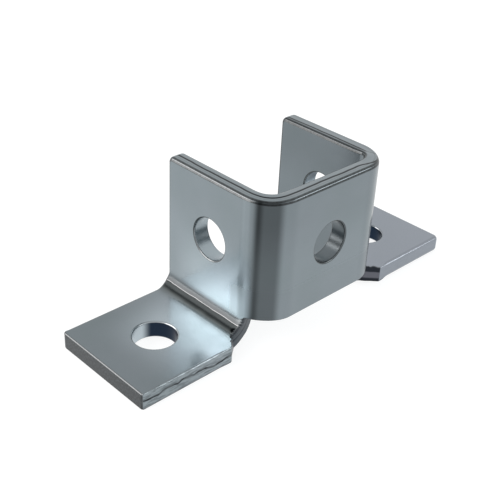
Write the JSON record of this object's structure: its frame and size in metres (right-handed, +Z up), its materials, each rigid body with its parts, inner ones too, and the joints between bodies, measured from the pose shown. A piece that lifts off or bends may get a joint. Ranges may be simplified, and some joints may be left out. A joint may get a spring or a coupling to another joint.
{
  "type": "wing fitting bracket",
  "caption": "Folded steel U bracket with flat wings at its foot, round bolt holes in web, flanges and wings, for fixing a strut end to a surface.",
  "frame": {"origin": "middle of the underside: on the ground plane, halfway along the wings and halfway from the web's outer face to the back edges", "axes": "+X along the wings, +Y from the web's outer face to the open back, +Z up"},
  "size_m": [0.14, 0.045, 0.053],
  "materials": {
    "zinc_steel": "bright zinc plated, faint blue passivation, satin"
  },
  "bodies": {
    "root": {"wing_fitting": "zinc_steel"}
  },
  "joints": []
}
